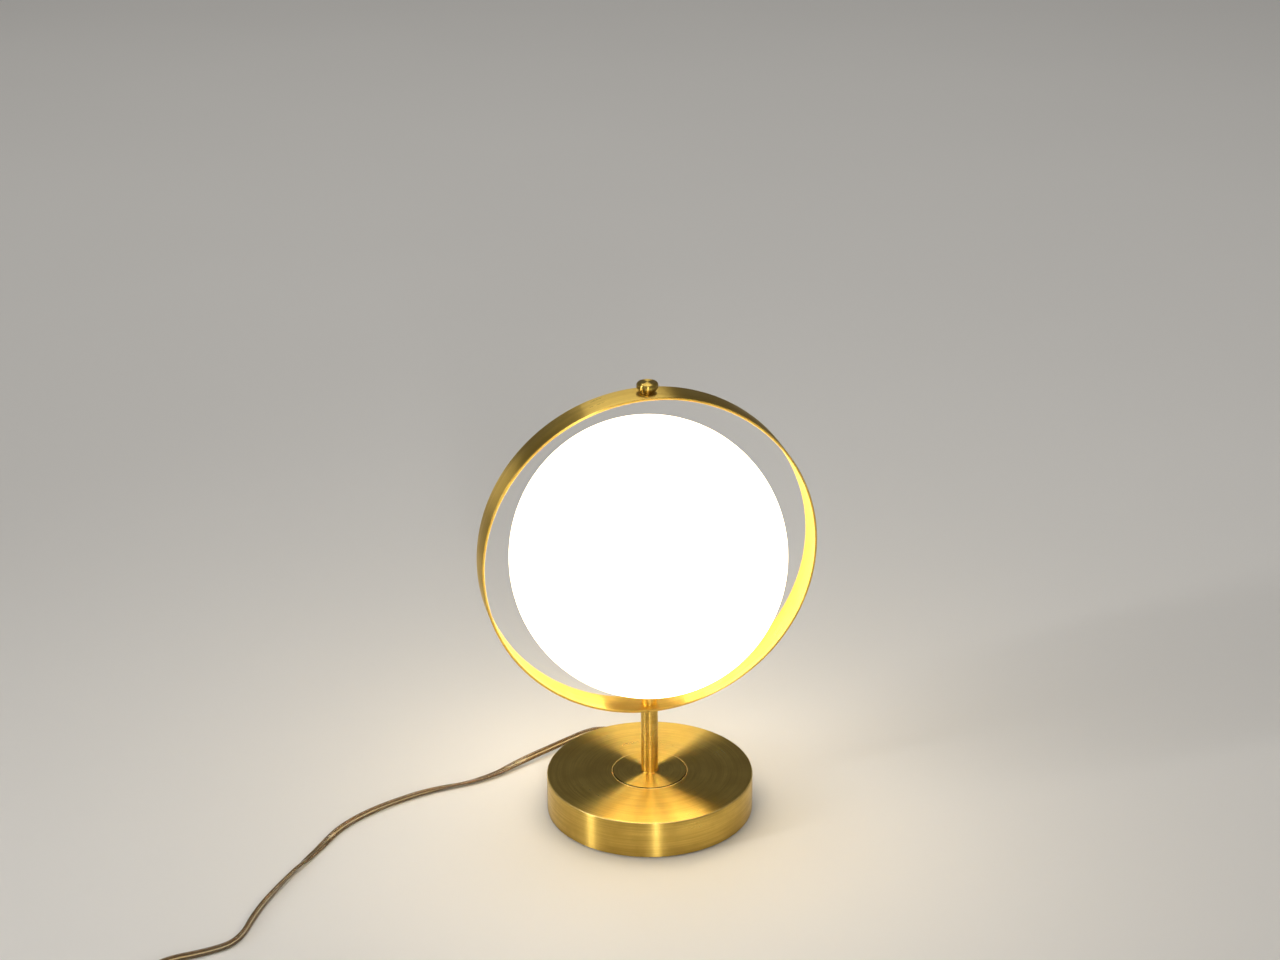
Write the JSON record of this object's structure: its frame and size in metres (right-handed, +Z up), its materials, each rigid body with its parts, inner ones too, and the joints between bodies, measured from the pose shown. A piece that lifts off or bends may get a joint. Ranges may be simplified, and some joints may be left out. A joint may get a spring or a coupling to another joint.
{
  "type": "globe table lamp",
  "caption": "Table lamp: opal glass globe inside a flat brass hoop, on a slim stem and a round weighted base, with a flat clear lead, in-line switch and plug.",
  "frame": {"origin": "middle of the base, on the surface that the lamp stands on", "axes": "+Z up; the hoop's axis lies along Y, its front looks along -Y, and the lead leaves at +Y"},
  "size_m": [0.4892, 0.3671, 0.3236],
  "materials": {
    "satin_brass": "satin, brushed along its length and lacquered",
    "opal_glass": "smooth opal glass, matt inside",
    "clear_glass": "clear capsule",
    "white_ceramic": "unglazed steatite",
    "zinc_steel": "bright zinc plate",
    "cast_iron": "rough casting, grey primer",
    "black_rubber": "matt, non-slip",
    "white_silicone": "matt silicone",
    "contact_brass": "bare stamped brass",
    "wire_cover": "heat-resistant wire cover",
    "clear_lead": "clear cover over two stranded cores",
    "smoked_plastic": "moulded, satin gloss",
    "grey_nylon": "moulded nylon",
    "black_strap": "moulded strap"
  },
  "bodies": {
    "root": {"foot_pad": "black_rubber", "bottom_cover": "zinc_steel", "cover_screws": "zinc_steel", "base_shell": "satin_brass", "base_weight": "cast_iron", "base_disc": "satin_brass", "base_washer": "zinc_steel", "base_nut": "zinc_steel", "threaded_rod": "zinc_steel", "stem_tube": "satin_brass", "ring_hoop": "satin_brass", "ring_collar": "satin_brass", "ring_knob": "satin_brass", "knob_screw": "zinc_steel", "fitter_cup": "zinc_steel", "fitter_washer": "zinc_steel", "fitter_nut": "zinc_steel", "holder_bracket": "zinc_steel", "bracket_screws": "zinc_steel", "lamp_holder": "white_ceramic", "holder_contacts": "contact_brass", "cord_bushing": "smoked_plastic", "cord_clamp": "grey_nylon", "clamp_screws": "zinc_steel", "cord_inner": "clear_lead", "wire_live": "wire_cover", "wire_neutral": "wire_cover", "cord_run": "clear_lead", "switch_lower": "smoked_plastic", "switch_upper": "smoked_plastic", "switch_screws": "zinc_steel", "switch_contacts": "contact_brass", "switch_wire": "wire_cover", "cord_link": "clear_lead", "cord_coil": "clear_lead", "coil_tie": "black_strap", "cord_tail": "clear_lead", "plug_body": "smoked_plastic", "plug_blades": "contact_brass"},
    "globe_carrier": {"globe_gasket": "white_silicone"},
    "globe": {"globe_glass": "opal_glass"},
    "bulb": {"bulb_base": "white_ceramic", "bulb_capsule": "clear_glass"},
    "switch_dial": {"switch_wheel": "smoked_plastic"}
  },
  "joints": [
    {"name": "globe_lift", "type": "slide", "parent": "root", "child": "globe_carrier", "axis": [0, 0, 1], "range_m": [0, 0.0061]},
    {"name": "globe_turn", "type": "hinge", "parent": "globe_carrier", "child": "globe", "pos_m": [0, 0, 0.1089], "axis": [0, 0, 1], "range_deg": [0, 720]},
    {"name": "bulb_pull", "type": "slide", "parent": "root", "child": "bulb", "axis": [0, 0, 1], "range_m": [0, 0.012]},
    {"name": "switch_turn", "type": "hinge", "parent": "root", "child": "switch_dial", "pos_m": [-0.3108, -0.17741, 0.008], "axis": [0, 0, 1], "continuous": true}
  ],
  "couplings": [
    {"joint": "globe_lift", "follows": "globe_turn", "m_per_rad": 0.00047746}
  ]
}
